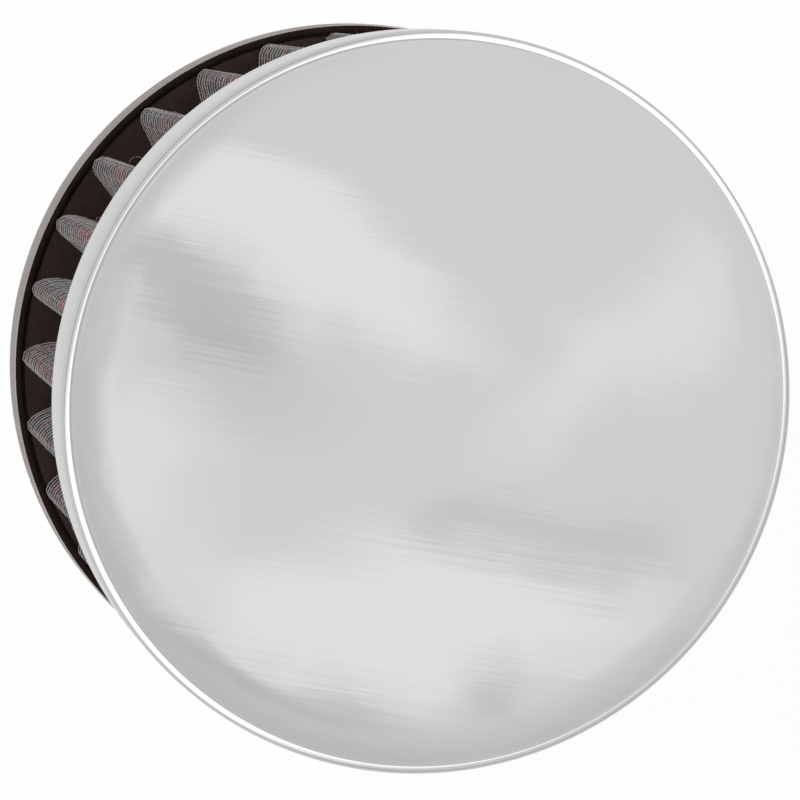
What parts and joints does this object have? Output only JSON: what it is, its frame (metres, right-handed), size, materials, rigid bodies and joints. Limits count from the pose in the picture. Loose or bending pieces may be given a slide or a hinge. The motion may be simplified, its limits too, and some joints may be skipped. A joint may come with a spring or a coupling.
{
  "type": "crankcase breather filter",
  "caption": "Round crankcase breather: pleated oiled gauze between a chrome cap and a steel pan, with a push-in inlet neck.",
  "frame": {"origin": "centre of the neck's lower end, on the filter's axis", "axes": "+Z along the filter's axis, from the neck towards the cap; +X through the tip of one pleat"},
  "size_m": [0.0762, 0.0762, 0.0664],
  "materials": {
    "cap_chrome": "polished",
    "pan_chrome": "satin",
    "neck_steel": "satin",
    "potting": "semi-gloss",
    "screen_wire": "epoxy coated wire",
    "gauze": "oiled cotton gauze"
  },
  "bodies": {
    "root": {"top_cap": "cap_chrome", "cap_potting": "potting", "outer_screen": "screen_wire", "gauze_media": "gauze", "inner_screen": "screen_wire", "base_potting": "potting", "base_pan": "pan_chrome", "neck_tube": "neck_steel"}
  },
  "joints": []
}
